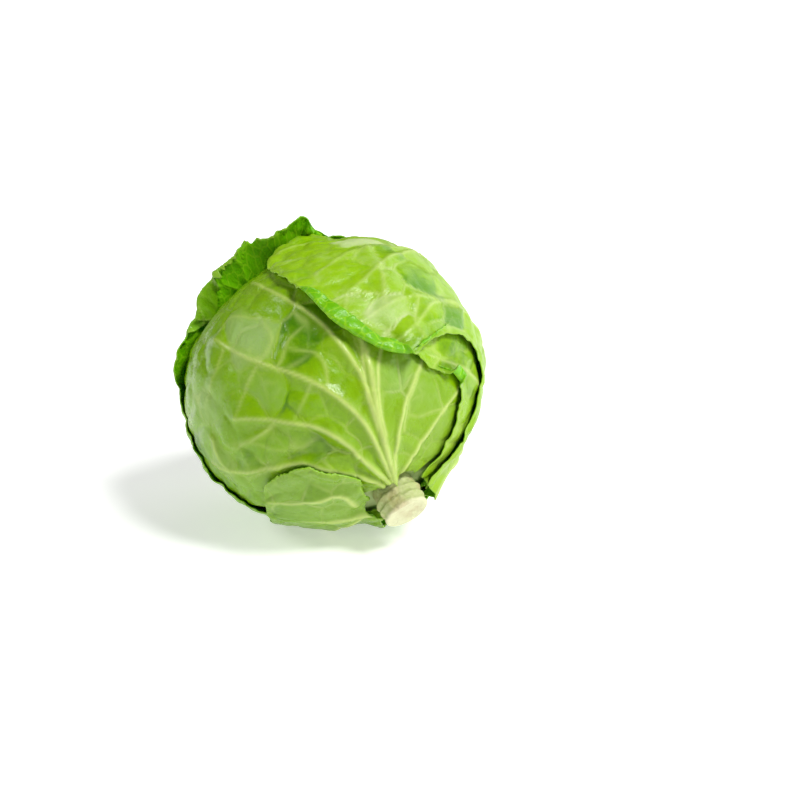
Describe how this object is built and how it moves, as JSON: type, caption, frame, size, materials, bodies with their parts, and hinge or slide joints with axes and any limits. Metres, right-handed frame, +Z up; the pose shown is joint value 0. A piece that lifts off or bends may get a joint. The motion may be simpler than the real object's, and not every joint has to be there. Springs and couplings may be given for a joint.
{
  "type": "cabbage head",
  "caption": "Whole round head of green cabbage lying on its side, with loose wrapper leaves, waved margins, raised ribs and a short cut stem.",
  "frame": {"origin": "middle of the small flat spot on the underside that the head rests on", "axes": "+Z up from the surface; the front leaf's ribs face -Y; the cut stem end points forwards (-Y), to the right (+X) and down"},
  "size_m": [0.1788, 0.1716, 0.1781],
  "materials": {
    "wrapper_leaf": "smooth waxy leaf with a soft sheen",
    "heart": "smooth pale inner leaves",
    "stem": "pale moist cut stump"
  },
  "bodies": {
    "root": {"heart": "heart", "stem": "stem", "front_leaf": "wrapper_leaf", "right_leaf": "wrapper_leaf", "top_leaf": "wrapper_leaf", "back_leaf": "wrapper_leaf", "under_leaf": "wrapper_leaf"}
  },
  "joints": []
}
